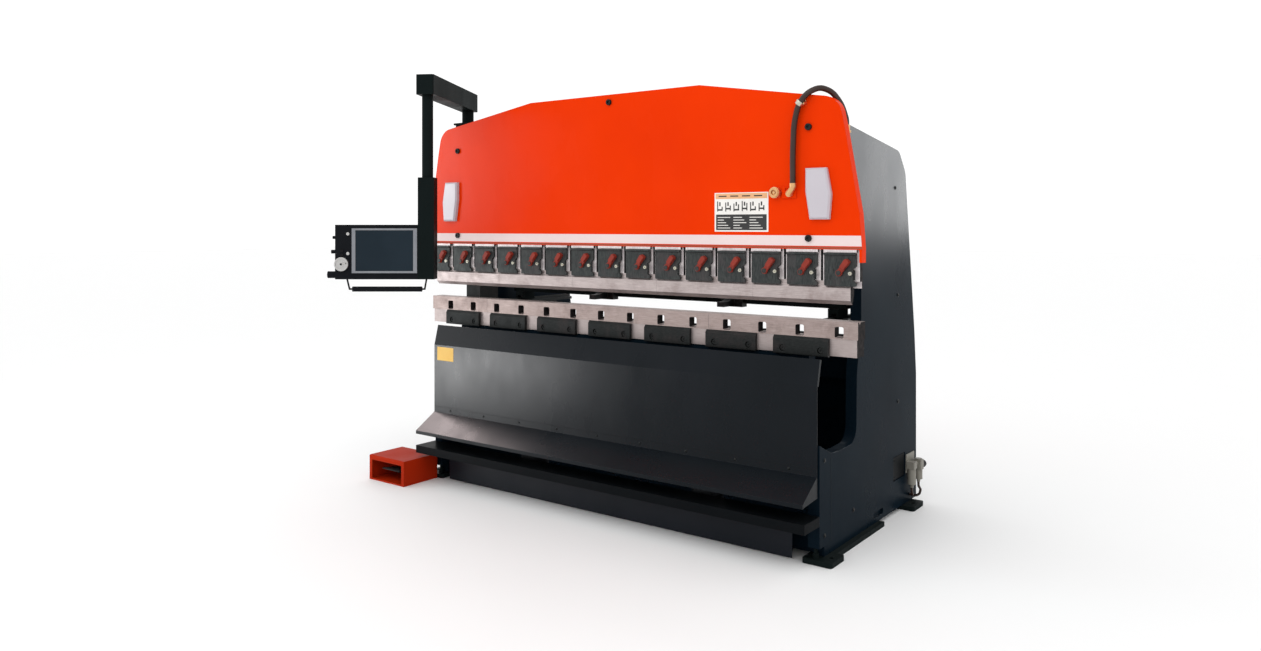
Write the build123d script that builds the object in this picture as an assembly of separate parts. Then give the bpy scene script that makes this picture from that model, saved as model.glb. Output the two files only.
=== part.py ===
from build123d import *

import math
import os

# Hydraulic press brake with a fixed upper beam and a lower table that rises to make the bend.
# Millimetres. +X runs along the bending line to the operator's right, +Y from the operator
# towards the rear, +Z up. The layout is drawn with Y = 0 on the front face of the upper beam
# and Z = 0 on the floor; save() then moves it so that the origin is the centre of the four
# anchor holes in the foot pads.

# ---- driving dimensions -------------------------------------------------------------------
origin_y = 509.0                        # centre of the anchor holes behind the beam's face

frame_half = 1341.0                     # outer faces of the C-frames
plate = 60.0                            # thickness of a C-frame
inner_half = frame_half - plate
frame_front, frame_rear = -100.0, 1214.0
throat_y = 400.0                        # bottom of the throat, behind the beam's face

pad_thick, pad_in, pad_out = 25.0, 1256.0, 1411.0
anchor_x, anchor_front, anchor_rear, anchor_r = 1376.0, -44.0, 1062.0, 12.0

beam_thick, beam_bottom, beam_top = 50.0, 1498.0, 2359.0
holder_pitch, holder_count = 200.0, 15
holder_bottom, holder_wide = 1312.0, 188.0
tip_y, tip_z = 32.0, 1231.0             # punch tip, on the bending line

die_top, die_step, die_bottom = 1151.0, 1066.0, 981.0
die_half, rail_half, punch_half = 1488.0, 1480.0, 1450.0
slot_count, slot_pitch, slot_first = 14, 208.4, -1318.0
die_clamp_count, die_clamp_pitch = 7, 398.0
die_screw_offsets, die_screw_z = (-97.0, 108.0), 1004.0      # from each die clamp's middle

table_half, table_front, table_rear = 1228.0, 22.0, 92.0
table_low, table_high = 235.0, die_bottom
ram_x, ram_y, ram_r, barrel_r = 620.0, 57.0, 45.0, 85.0

cover_half, cover_y = 1335.0, -113.0
hose_r = 14.5
kick_half = 1201.0

post_x, post_y, arm_low, arm_high = -1310.0, 155.0, 2374.0, 2489.0
drop_x, drop_y, drop_r = -934.0, -524.0, 32.0
console_yaw = 36.5                      # the console is turned this far towards the operator
wheel_right, key_right = -486.0, -451.0  # along the console's face from the drop tube
run_gap = 0.05                          # radial clearance of every running fit


# ---- helpers ------------------------------------------------------------------------------
def block(x0, x1, y0, y1, z0, z1):
    """A box between two corners."""
    box = Box(x1 - x0, y1 - y0, z1 - z0)
    return Pos((x0 + x1) / 2, (y0 + y1) / 2, (z0 + z1) / 2) * box


def rod(start, end, radius):
    """A round bar from start to end."""
    a, b = Vector(*start), Vector(*end)
    return Plane(origin=a, z_dir=b - a) * Cylinder(
        radius, (b - a).length, align=(Align.CENTER, Align.CENTER, Align.MIN))


def outline(points, place):
    """A closed face through 2-D points; a third number on a point rounds that corner."""
    count = len(points)
    entries = []
    for i, point in enumerate(points):
        here = Vector(point[0], point[1])
        if len(point) < 3:
            entries.append((here, None, here))
            continue
        back = (Vector(*points[i - 1][:2]) - here).normalized()
        ahead = (Vector(*points[(i + 1) % count][:2]) - here).normalized()
        half = math.acos(max(-1.0, min(1.0, back.dot(ahead)))) / 2
        run = point[2] / math.tan(half)
        centre = here + (back + ahead).normalized() * (point[2] / math.sin(half))
        middle = centre + (here - centre).normalized() * point[2]
        entries.append((here + back * run, middle, here + ahead * run))
    edges = []
    for i, (first, middle, last) in enumerate(entries):
        if middle is not None:
            edges.append(ThreePointArc(place(first), place(middle), place(last)))
        following = entries[(i + 1) % count][0]
        if (following - last).length > 1e-6:
            edges.append(Line(place(last), place(following)))
    return make_face(edges)


def along_x(points, x0, x1):
    """A (Y, Z) outline carried from x0 to x1."""
    return extrude(outline(points, lambda p: (x0, p.X, p.Y)), x1 - x0, dir=(1, 0, 0))


def along_y(points, y0, y1):
    """An (X, Z) outline carried from y0 to y1."""
    return extrude(outline(points, lambda p: (p.X, y0, p.Y)), y1 - y0, dir=(0, 1, 0))


def both_sides(shape):
    """The shape and its mirror image across the machine's centre plane."""
    return [shape, mirror(shape, about=Plane.YZ)]


def save(name, shape):
    """Write one node, moved to the machine's origin, with one colourless STEP per node."""
    pieces = shape if isinstance(shape, (list, tuple)) else [shape]
    solids = [Pos(0, -origin_y, 0) * solid for piece in pieces for solid in piece.solids()]
    whole = solids[0] if len(solids) == 1 else Compound(children=solids)
    export_step(whole, f"parts/{name}.step")


# ---- side frames --------------------------------------------------------------------------
def frame_profile():
    """Side view of a C-frame: front post, throat, upper arm and tapering back."""
    return [
        (frame_front, pad_thick), (frame_front, 566), (-40, 538), (34, 507), (150, 500),
        (336, 508, 85), (343, 850, 300), (throat_y, 1110, 300),
        (throat_y, beam_bottom + 2, 60), (beam_thick, beam_bottom + 2), (beam_thick, 2149), (942, 2035, 90),
        (1040, 1920, 90), (1186, 1003), (frame_rear, 747), (frame_rear, pad_thick),
    ]


def side_frame_right():
    frame = along_x(frame_profile(), inner_half, frame_half)
    flange = block(inner_half - 100, inner_half, beam_thick, 82, 1500, 2120)
    rib = along_x([(82, 1700), (82, 1760), (300, 1760), (300, 1700)], inner_half - 60, inner_half)
    frame = frame + flange + rib
    # Bottom cut-outs: a clearance notch at the front foot and a slot for lifting forks.
    frame -= block(inner_half, frame_half, frame_front - 1, -48, pad_thick - 1, 74)
    slot = [(560, 50, 14), (700, 50, 14), (700, 82, 14), (560, 82, 14)]
    frame -= along_x(slot, frame_half - 14, frame_half + 1)
    return frame


def service_recess():
    """Shallow hatch beside the air unit, on the right-hand frame only."""
    hatch = [(850, 185, 8), (1035, 185, 8), (1035, 320, 8), (850, 320, 8)]
    return along_x(hatch, frame_half - 30, frame_half + 1)


def foot_pads():
    """Two pads and the strip between them on each side, with the anchor holes."""
    rounded = 14
    pads = []
    for y0, y1, hole in ((-120, 33, anchor_front), (981, 1144, anchor_rear)):
        pad = extrude(outline(
            [(pad_in, y0, rounded), (pad_out, y0, rounded), (pad_out, y1, rounded),
             (pad_in, y1, rounded)], lambda p: (p.X, p.Y, 0)), pad_thick, dir=(0, 0, 1))
        pads.append(pad - rod((anchor_x, hole, -1), (anchor_x, hole, pad_thick + 1), anchor_r))
    pads.append(block(inner_half, 1372, 34, 640, 0, pad_thick))
    # A jacking screw stands in the notch at each front corner.
    jack = rod((1311, -78, pad_thick), (1311, -78, 46), 15)
    jack += rod((1311, -78, 46), (1311, -78, 68), 9)
    pads.append(jack)
    return [half for pad in pads for half in both_sides(pad)]


def cross_beams():
    """Welded box beams and a base plate that tie the two C-frames together."""
    def box_beam(y0, y1, z0, z1):
        hollow = block(-inner_half - 1, inner_half + 1, y0 + 12, y1 - 12, z0 + 12, z1 - 12)
        return block(-inner_half, inner_half, y0, y1, z0, z1) - hollow
    front = box_beam(-20, 134, pad_thick, 105)
    base_plate = block(-inner_half, inner_half, 134, 1040, 30, 36)
    return [front, base_plate, box_beam(1040, 1140, pad_thick, 105), box_beam(1040, 1100, 700, 860),
            box_beam(700, 760, 1880, 1980)]


def rear_cover():
    """Lower rear guard with folded edges, between the frames."""
    sheet = block(-inner_half, inner_half, 1180, 1183, 60, 950)
    sheet += block(-inner_half, inner_half, 1150, 1180, 947, 950)
    sheet += block(-inner_half, inner_half, 1150, 1180, 60, 63)
    for i in range(9):
        for j in range(3):
            x, z = -480 + 120 * i, 520 + 60 * j
            sheet -= along_y([(x, z, 7.9), (x + 80, z, 7.9), (x + 80, z + 16, 7.9), (x, z + 16, 7.9)],
                             1179, 1184)
    return sheet


def kick_plate():
    """Sheet closing the front base, carried on the front base beam by brackets."""
    sheet = block(-kick_half, kick_half, -108, -104, 6, 224)
    for x in (-1080, -400, 400, 1080):
        sheet += block(x - 4, x + 4, -104, -20, 40, 100)
    return sheet


def step_ledge():
    """Folded ledge along the front with a deep lip and end flanges to the frames."""
    ledge = along_x([(-262, 182), (-262, 229), (frame_front, 229), (frame_front, 224),
                     (-258, 224), (-258, 182)], -frame_half, frame_half)
    for x in (-frame_half, frame_half - 5):
        ledge += block(x, x + 5, -258, frame_front, 182, 224)
    return ledge


def table_guides():
    """Grooved guide blocks on the frames for the ends of the table."""
    guide = block(table_half - 16, inner_half, -6, 120, 250, 480)
    guide -= block(0, table_half + 1, table_front - 0.5, table_rear + 0.5, 249, 481)
    for z in (300, 430):
        guide += rod((1255, -6, z), (1255, -14, z), 9)
    return both_sides(guide)


# ---- hydraulics ---------------------------------------------------------------------------
def lift_cylinder(x):
    """Barrel with base flange and gland ring, bored for the ram."""
    body = rod((x, ram_y, 105), (x, ram_y, 420), barrel_r)
    body += rod((x, ram_y, 105), (x, ram_y, 130), barrel_r + 22)
    body += rod((x, ram_y, 405), (x, ram_y, 432), barrel_r - 15)
    body += rod((x, ram_y - barrel_r + 6, 150), (x, ram_y - barrel_r - 16, 150), 14)
    return body - rod((x, ram_y, 145), (x, ram_y, 433), ram_r + run_gap)


def ram_rod(x):
    """Ram with a pressure foot that bears on the table."""
    return rod((x, ram_y, 150), (x, ram_y, 545), ram_r) + rod((x, ram_y, 545), (x, ram_y, 560), 62)


def oil_tank():
    tank = block(-600, 600, 720, 1040, 60, 410)
    tank = fillet(tank.edges().filter_by(Axis.Z), 18)
    tank += block(-615, 615, 715, 1040, 410, 416)
    tank += rod((470, 880, 416), (470, 880, 470), 34) + rod((470, 880, 470), (470, 880, 486), 44)
    tank += block(-520, -470, 712, 720, 150, 320)
    return tank


def pump_motor():
    """Foot-mounted motor with cooling ribs, coupling and gear pump."""
    z = 416 + 112
    motor = rod((-330, 880, z), (-30, 880, z), 88)
    for i in range(9):
        motor += rod((-305 + 28 * i, 880, z), (-297 + 28 * i, 880, z), 98)
    motor += block(-300, -60, 790, 970, 416, 446) + block(-240, -120, 832, 928, 446, z)
    motor += block(-220, -140, 850, 910, z, z + 128)
    motor += rod((-30, 880, z), (70, 880, z), 52) + block(70, 190, 835, 925, z - 55, z + 55)
    motor += rod((130, 880, z + 55), (130, 880, z + 95), 20)
    return motor


# ---- upper beam ---------------------------------------------------------------------------
bolt_places = ((-1237, 2097), (1237, 2097), (-1237, 1551), (1237, 1551), (0, 2315))


def upper_beam():
    right = [(604, beam_top), (1392, 2232, 105), (1424, 2086), (1499, 1669), (1511, beam_bottom)]
    left = [(-x, z, *more) for x, z, *more in reversed(right)]
    beam = along_y(right + left, 0, beam_thick)
    for x, z in bolt_places:
        beam -= rod((x, -1, z), (x, 42, z), 10.5)
    for x in (1498, -1510):
        beam += block(x, x + 12, 0, beam_thick, 1436, beam_bottom + 1)
    boss = [(1093, 1748, 6), (1172, 1748, 6), (1172, 1806, 6), (1093, 1806, 6)]
    beam += along_y(boss, -7.5, 1)
    return beam - rod((1120, -9, 1792), (1120, -2, 1792), 9)


def beam_bolts():
    bolts = []
    for x, z in bolt_places:
        bolt = rod((x, -13, z), (x, 0, z), 17) + rod((x, 0, z), (x, 40, z), 10)
        socket = extrude(Pos(x, -13, z) * Rot(90, 0, 0) * RegularPolygon(9, 6), -7)
        bolts.append(fillet(bolt.edges().sort_by(Axis.Y)[0], 2) - socket)
    return bolts


def beam_side_covers():
    """Six-sided raised covers near the ends of the beam."""
    corners = [(1228, 1894), (1338, 1894), (1362, 1765), (1352, 1643), (1250, 1643), (1228, 1780)]
    cover = along_y(corners, -28, 0)
    front = cover.faces().sort_by(Axis.Y)[0]
    return both_sides(chamfer(front.edges(), 9))


# ---- punch clamping -----------------------------------------------------------------------
def holder_centres():
    return [holder_pitch * (i - (holder_count - 1) / 2) for i in range(holder_count)]


def lever_pivot(x):
    """Where the clamping lever of the holder at x turns."""
    return x - 2, 1386


def punch_holder(x):
    """Block that hangs from the beam and carries the punch on its front step."""
    holder = along_x([(16, beam_bottom), (50, beam_bottom), (50, holder_bottom),
                      (40.5, holder_bottom), (40.5, 1346), (16, 1346)],
                     x - holder_wide / 2, x + holder_wide / 2)
    return holder + block(x - 84, x + 84, 2, 16, 1484, beam_bottom)


def clamp_plate(x):
    """Front plate that grips the punch, relieved at its right edge, with a sloped top."""
    edge = x + 80
    plate_outline = [
        (x - 82, 1322, 6), (edge, 1322, 6), (edge, 1336), (edge - 16, 1350, 6),
        (edge - 16, 1404, 6), (edge, 1418), (edge, 1482, 6), (x - 82, 1482, 6)]
    body = along_y(plate_outline, 0, 15.5)
    body += along_x([(0, 1469), (0, 1482), (-9, 1482), (-9, 1473)], x - 82, edge)
    stud_x, stud_z = lever_pivot(x)
    body += rod((stud_x, 0, stud_z), (stud_x, -15, stud_z), 8)
    body += rod((stud_x, -15, stud_z), (stud_x, -19, stud_z), 12)
    return body - rod((x + 54, -1, 1384), (x + 54, 12, 1384), 5.5)


def clamp_screws(x):
    """Socket screw that pulls the plate up against the punch."""
    screw = rod((x + 54, 12, 1384), (x + 54, 0, 1384), 5.5)
    screw += rod((x + 54, 0, 1384), (x + 54, -10, 1384), 9)
    return screw - extrude(Pos(x + 54, -10, 1384) * Rot(90, 0, 0) * RegularPolygon(5, 6), -6)


def clamp_lever(x):
    """Short quick-release lever leaning to the right from the plate's stud."""
    (px, pz), y0, y1 = lever_pivot(x), -13.5, -1.5
    tilt = math.radians(38)
    ux, uz = math.sin(tilt), math.cos(tilt)
    def at(run, side):
        return (px + ux * run + uz * side, pz + uz * run - ux * side)
    arm = along_y([(*at(2, -12),), (*at(2, 12),), (*at(80, 15), 9), (*at(80, -15), 9)], y0, y1)
    hub = rod((px, y0, pz), (px, y1, pz), 16)
    grip = along_y([(*at(30, -12), 4), (*at(30, 12), 4), (*at(78, 14), 8), (*at(78, -14), 8)],
                   y0 - 12, y0)
    lever = arm + hub + grip
    return lever - rod((px, y0 - 14, pz), (px, y1 + 1, pz), 8 + run_gap)


def upper_punch():
    """Hardened punch in sections, tang in the holders and tip on the bending line."""
    profile = [(16, 1346), (40, 1346), (40, 1312), (52, 1312), (52, 1282), (34, tip_z + 1),
               (30, tip_z + 1), (10, 1252), (10, 1312), (16, 1322)]
    cuts = [-punch_half, -880, -280, 320, 920, punch_half]
    return [along_x(profile, a + 0.4, b - 0.4) for a, b in zip(cuts, cuts[1:])]


# ---- pressure line on the beam ------------------------------------------------------------
def pressure_hose():
    """Hose from the front elbow, up the beam, over its shoulder to the frame behind."""
    # Straight runs joined by tangent arcs: up the face, over the shoulder, down behind it.
    route = [(1163, -25, 1822), (1163, -25, 1962), (1169, -25, 2110), (1192, -25, 2205),
             (1238, -22, 2262), (1290, 14, 2290), (1334, 60, 2268), (1372, 84, 2205),
             (1395, 86, 2132), (1395, 86, 2104)]
    path = FilletPolyline(*route, radius=[2500, 400, 140, 90, 70, 85, 160, 100])
    return sweep(Plane(origin=path @ 0, z_dir=path % 0) * Circle(hose_r), path=path)


def hose_fittings():
    """Brass elbow and gauge port on the beam; clip and bulkhead fitting for the hose."""
    elbow = rod((1163, -25, 1800), (1163, -25, 1822), 17) + Pos(1160, -25, 1797) * Sphere(15)
    elbow += rod((1140, -7.5, 1772), (1140, -25, 1772), 17)
    elbow += rod((1138, -25, 1768), (1160, -25, 1797), 15)
    port = rod((1062, 0, 1778), (1062, -30, 1778), 28) + rod((1062, -30, 1778), (1062, -38, 1778), 24)
    port -= rod((1062, -39, 1778), (1062, -24, 1778), 14)
    port += rod((1062, -24, 1778), (1062, -34, 1778), 7)
    clip = block(1186, 1226, -44, 0, 2206, 2232)
    clip -= rod((1181, -25, 2178), (1224, -23, 2246), hose_r + 3)
    clip -= block(1185, 1227, -60, -30, 2200, 2240)
    bulkhead = rod((1395, 86, 2078), (1395, 86, 2104), 18)
    bulkhead += block(frame_half, 1412, 68, 104, 2066, 2078)
    return [elbow, port, clip, bulkhead]


# ---- air unit at the rear -----------------------------------------------------------------
def air_regulator():
    """Filter and pressure regulator side by side on a bracket outside the right-hand frame."""
    bracket = block(frame_half, frame_half + 6, 1042, 1166, 196, 300)
    bracket += block(frame_half + 6, 1362, 1052, 1158, 236, 248)
    filter_head = block(1346, 1394, 1038, 1086, 222, 262)
    filter_head = fillet(filter_head.edges().filter_by(Axis.Z), 6)
    bowl = rod((1370, 1062, 132), (1370, 1062, 222), 23) + rod((1370, 1062, 114), (1370, 1062, 132), 11)
    head = block(1358, 1406, 1114, 1162, 206, 262)
    head = fillet(head.edges().filter_by(Axis.Z), 6)
    body = rod((1382, 1138, 150), (1382, 1138, 206), 22) + rod((1382, 1138, 134), (1382, 1138, 150), 10)
    body += rod((1382, 1138, 262), (1382, 1138, 268), 20)
    nipple = rod((1376, 1086, 242), (1376, 1114, 242), 13)
    knob = rod((1384, 1162, 226), (1384, 1170, 226), 12) + rod((1384, 1170, 226), (1384, 1206, 226), 21)
    return bracket + filter_head + bowl + head + body + nipple + knob


def regulator_hoses():
    """Bowed supply hose below the regulator and the filter's drain hose, to ports on the frame."""
    supply = FilletPolyline((1382, 1138, 134), (1382, 1138, 108), (1388, 1158, 84),
                            (1380, 1160, 56), (1364, 1150, 46), (frame_half, 1150, 46),
                            radius=[20, 20, 18, 18])
    drain = FilletPolyline((1370, 1062, 114), (1370, 1062, 94), (1366, 1084, 68),
                           (1360, 1104, 62), (frame_half, 1104, 62), radius=[20, 25, 12])
    return [sweep(Plane(origin=path @ 0, z_dir=path % 0) * Circle(7), path=path)
            for path in (supply, drain)]


# ---- lower table --------------------------------------------------------------------------
def lower_table():
    """Thick plate with pockets over the lift cylinders and arms for the front cover."""
    table = along_x([(table_front, table_low), (table_rear, table_low),
                     (table_rear, table_high), (table_front, table_high)],
                    -table_half, table_half)
    for x in (-ram_x, ram_x):
        pocket = [(x - 125, table_low - 1), (x - 125, 560), (x + 125, 560), (x + 125, table_low - 1)]
        table -= along_y(pocket, table_front - 1, table_rear + 1)
    table += block(-1180, 1180, table_front - 40, table_front, 905, 925)
    for x in (-1150, -960, -280, 280, 960, 1150):
        table += block(x - 5, x + 5, -109, table_front, 600, 640)
    return table


def die_rail():
    """Ground rail on top of the table, longer than the table at both ends."""
    rail = block(-rail_half, rail_half, 16, 100, die_bottom, die_step)
    for x in (-1440, 1440):
        rail -= along_y([(x - 9, 1000, 8.9), (x + 9, 1000, 8.9), (x + 9, 1030, 8.9),
                         (x - 9, 1030, 8.9)], 80, 101)
    return rail


def v_die():
    """Die bar in three lengths with a row of slots through it and a V along its top."""
    cuts = [-die_half, -985, 655, die_half]
    bars = []
    for a, b in zip(cuts, cuts[1:]):
        bar = block(a + 0.5, b - 0.5, 10, 96, die_step, die_top)
        bar -= along_x([(tip_y, die_top - 12), (tip_y + 9, die_top + 1), (tip_y - 9, die_top + 1)],
                       a, b)
        for i in range(slot_count):
            x = slot_first + slot_pitch * i
            if a < x < b:
                # A slot through the front web, and behind it a wider pocket open to the rear.
                slot = [(x - 23, 1070, 9), (x + 23, 1070, 9), (x + 23, 1125, 9),
                        (x - 23, 1125, 9)]
                pocket = [(x - 66, 1072, 9), (x + 26, 1072, 9), (x + 26, 1125, 9),
                          (x - 66, 1125, 9)]
                bar -= along_y(slot, 9, 62)
                bar -= along_y(pocket, 61, 97)
        bars.append(bar)
    return bars


def die_clamp_xs():
    return [die_clamp_pitch * (i - (die_clamp_count - 1) / 2) - 3 for i in range(die_clamp_count)]


def die_clamps():
    """Dark clamp bars on the front of the rail, bored for their screws."""
    clamps = []
    for x in die_clamp_xs():
        bar = along_x([(-4, 975, 4), (16, 975), (16, 1066), (8, 1066, 3), (-4, 1052, 3)],
                      x - 149, x + 149)
        for dx in die_screw_offsets:
            bar -= rod((x + dx, -5, die_screw_z), (x + dx, 17, die_screw_z), 8)
            bar -= rod((x + dx, -5, die_screw_z), (x + dx, 10, die_screw_z), 17)
        clamps.append(bar)
    return clamps


def die_clamp_screws():
    screws = []
    for x in die_clamp_xs():
        for dx in die_screw_offsets:
            screw = rod((x + dx, 10, die_screw_z), (x + dx, 1, die_screw_z), 13.5)
            screw += rod((x + dx, 10, die_screw_z), (x + dx, 15.5, die_screw_z), 7.5)
            socket = Pos(x + dx, 1, die_screw_z) * Rot(90, 0, 0) * RegularPolygon(6.5, 6)
            screws.append(screw - extrude(socket, -5))
    return screws


def front_cover():
    """One folded sheet: leaning top, upright front, sloping apron and its turned-down lip."""
    sheet = along_x([
        (-84, 974), (-115, 850), (-115, 419), (-268, 323), (-268, 303), (-264, 303),
        (-264, 320.8), (-111, 416.8), (-111, 849.5), (-80.1, 973)],
        -cover_half, cover_half)
    for x in (-cover_half, cover_half - 4):
        sheet += along_x([(-111, 416.8), (-264, 320.8), (-264, 306), (-115, 318), (-111, 318)],
                         x, x + 4)
        sheet += along_x([(-111, 849.5), (-80.1, 973), (-66, 969.5), (-98, 846)], x, x + 4)
    return sheet


# ---- back gauge ---------------------------------------------------------------------------
gauge_y0, gauge_y1, gauge_low, gauge_high = 500.0, 580.0, 1166.0, 1236.0


def backgauge_rails():
    """Guide rails on brackets bolted to the inner faces of the frames."""
    bracket = block(1120, inner_half, throat_y + 30, 1000, 1086, 1104)
    bracket += block(inner_half - 14, inner_half, throat_y + 30, 1000, 1030, 1086)
    bracket += block(1120, 1180, 262, throat_y + 30, 1092, 1104)
    rail = block(1139, 1161, 270, 996, 1104, 1122)
    # A closed drive box stands on the front of the left-hand bracket.
    box = block(-1271, -1146, 106, 270, 1140, 1246) + block(-1180, -1166, 262, 270, 1104, 1140)
    return [*both_sides(bracket + rail), box]


def backgauge_beam():
    """Cross beam of the back gauge on two carriages."""
    beam = block(-1215, 1215, gauge_y0, gauge_y1, gauge_low, gauge_high)
    beam -= block(-1216, 1216, gauge_y0 + 8, gauge_y1 - 8, gauge_low + 8, gauge_high - 8)
    for x in (-1150, 1150):
        beam += block(x - 32, x + 32, gauge_y0 - 20, gauge_y1 + 20, 1140, gauge_low)
        for dx in (-32, 14):
            beam += block(x + dx, x + dx + 18, gauge_y0 - 20, gauge_y1 + 20, 1112, 1140)
    beam += block(-1140, 1140, gauge_y1, gauge_y1 + 6, gauge_low + 20, gauge_high - 20)
    return beam


def backgauge_finger(x):
    """Stop finger on a saddle that hooks over the gauge beam."""
    saddle = block(x - 70, x + 70, 446, gauge_y0 - 0.5, 1150, gauge_high + 12)
    saddle += block(x - 70, x + 70, gauge_y0 - 0.5, gauge_y0 + 46, gauge_high + 0.5, gauge_high + 12)
    finger = along_x([(446, 1156), (446, 1206), (372, 1184), (322, 1184, 4), (322, 1156, 4)],
                     x - 22, x + 22)
    knob = rod((x, 470, gauge_high + 12), (x, 470, gauge_high + 34), 9)
    knob += rod((x, 470, gauge_high + 34), (x, 470, gauge_high + 46), 20)
    return saddle + finger + knob


# ---- control console ----------------------------------------------------------------------
def facing(right, out, up):
    """Turn console coordinates (to its right, out of its face, height) into machine ones."""
    yaw = math.radians(console_yaw)
    return (drop_x + right * math.cos(yaw) + out * math.sin(yaw),
            drop_y + right * math.sin(yaw) - out * math.cos(yaw), up)


def console_box(r0, r1, o0, o1, z0, z1):
    """A box in console coordinates."""
    box = Box(r1 - r0, o1 - o0, z1 - z0)
    return Pos(*facing((r0 + r1) / 2, (o0 + o1) / 2, (z0 + z1) / 2)) * Rot(0, 0, console_yaw) * box


def console_rod(start, end, radius):
    return rod(facing(*start), facing(*end), radius)


def console_post():
    """Pedestal on the left-hand frame, its cap plate and the post with its bearing bore."""
    foot = block(post_x - 56, post_x + 56, post_y - 56, post_y + 56, 2149, 2281)
    profile_cut = along_x([(-100, 2168.5), (1100, 2015), (1100, 1900), (-100, 1900)], -1500, -1000)
    foot -= profile_cut
    cap = block(post_x - 66, post_x + 66, post_y - 66, post_y + 66, 2281, 2293)
    post = rod((post_x, post_y, 2293), (post_x, post_y, arm_low - 1), 38)
    return foot + cap + post - rod((post_x, post_y, 2300), (post_x, post_y, arm_low), 25 + run_gap)


def console_arm():
    """Box arm that swings on the post and carries the drop tube at its outer end."""
    reach = math.hypot(drop_x - post_x, drop_y - post_y)
    heading = math.degrees(math.atan2(drop_y - post_y, drop_x - post_x))
    beam = Pos(reach / 2, 0, 0) * Box(reach + 110, 105, arm_high - arm_low)
    beam = fillet(beam.edges().filter_by(Axis.Z), 12)
    beam = Pos(post_x, post_y, (arm_low + arm_high) / 2) * Rot(0, 0, heading) * beam
    pin = rod((post_x, post_y, 2303), (post_x, post_y, arm_low + 5), 25)
    tube = rod((drop_x, drop_y, 1702), (drop_x, drop_y, arm_low + 5), drop_r)
    return beam + pin + tube


def console_sleeve():
    """Square sleeve around the drop tube, down the right-hand side of the console."""
    sleeve = console_box(-47, 47, -47, 47, 1303, 1893)
    return sleeve - rod((drop_x, drop_y, 1695), (drop_x, drop_y, 1895), drop_r + run_gap)


def console_housing():
    """Control housing with bores for the buttons, a wheel spindle and side plugs."""
    body = console_box(-526, -47, -58, 44, 1303, 1619)
    body += console_box(-440, -95, -80, -58, 1350, 1560)
    for up in (1566, 1452):
        body -= console_rod((key_right, 30, up), (key_right, 45, up), 9.4)
    body += console_rod((wheel_right, 44, 1391), (wheel_right, 66, 1391), 6)
    for up, radius, length in ((1545, 9, 26), (1462, 11, 34), (1328, 20, 54)):
        body += console_rod((-526, 0, up), (-526 - length, 0, up), radius)
    return body


def screen_bezel():
    frame = console_box(-428, -51, 44, 50, 1339, 1598)
    return frame - console_box(-407, -73, 43, 51, 1351, 1587)


def screen_glass():
    return console_box(-407, -73, 44, 46.5, 1351, 1587)


def handwheel():
    """Hand pulse wheel with a spinner peg, free to turn on its spindle."""
    wheel = console_rod((wheel_right, 47, 1391), (wheel_right, 63, 1391), 40)
    wheel -= console_rod((wheel_right, 58, 1391), (wheel_right, 64, 1391), 33)
    wheel += console_rod((wheel_right, 57, 1391), (wheel_right, 64, 1391), 13)
    wheel += console_rod((wheel_right + 23, 57, 1396), (wheel_right + 23, 76, 1396), 5)
    return wheel - console_rod((wheel_right, 46, 1391), (wheel_right, 67, 1391), 6 + run_gap)


def console_button(up):
    """Round push button standing out of the housing."""
    return console_rod((key_right, 34.5, up), (key_right, 50, up), 9)


def console_handle():
    """Thick grip on a bent wire bracket under the console."""
    bar = console_rod((-461, 30, 1308), (-446, 30, 1246), 5)
    bar += console_rod((1, 30, 1308), (-10, 30, 1246), 5)
    bar -= console_box(-480, 20, 15, 45, 1303, 1320)
    bar += console_rod((-446, 30, 1246), (-10, 30, 1246), 5)
    for right in (-446, -10):
        bar += Pos(*facing(right, 30, 1246)) * Sphere(5)
    return bar + console_rod((-428, 30, 1246), (-26, 30, 1246), 15)


# ---- foot switch --------------------------------------------------------------------------
foot_x0, foot_x1, foot_y0, foot_y1, foot_high = -1626.0, -1296.0, -398.0, -126.0, 155.0


def foot_switch_housing():
    """Sheet-steel hood with a framed opening in front, over the pedal and its base plate."""
    shell = along_x([(foot_y0, 0), (foot_y0, foot_high, 8), (foot_y1, foot_high, 10),
                     (foot_y1, 0)], foot_x0, foot_x1)
    shell -= block(foot_x0 + 5, foot_x1 - 5, foot_y0 + 5, foot_y1 - 5, 6, foot_high - 5)
    shell -= along_y([(foot_x0 + 24, 10, 8), (foot_x1 - 24, 10, 8),
                      (foot_x1 - 24, foot_high - 28, 8), (foot_x0 + 24, foot_high - 28, 8)],
                     foot_y0 - 1, foot_y0 + 6)
    for x in (foot_x0 + 70, foot_x1 - 82):
        shell += block(x, x + 12, -190, -150, 6, 44)
    pin = rod((foot_x0 + 60, -170, 30), (foot_x1 - 60, -170, 30), 6)
    return shell + pin


def foot_pedal():
    """Tread plate hinged at its rear on the pin, with grip ribs."""
    x0, x1 = foot_x0 + 84, foot_x1 - 84
    pedal = along_x([(-364, 70, 3), (-364, 78, 3), (-186, 50), (-158, 42), (-158, 18), (-182, 18),
                     (-190, 40)], x0, x1)
    for i in range(5):
        y = -352 + 30 * i
        z = 78 - (y + 364) * 28 / 178
        pedal += block(x0 + 8, x1 - 8, y - 3, y + 3, z - 4, z + 4)
    return pedal - rod((x0 - 1, -170, 30), (x1 + 1, -170, 30), 6 + run_gap)


# ---- the assembly -------------------------------------------------------------------------
os.makedirs("parts", exist_ok=True)

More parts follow.
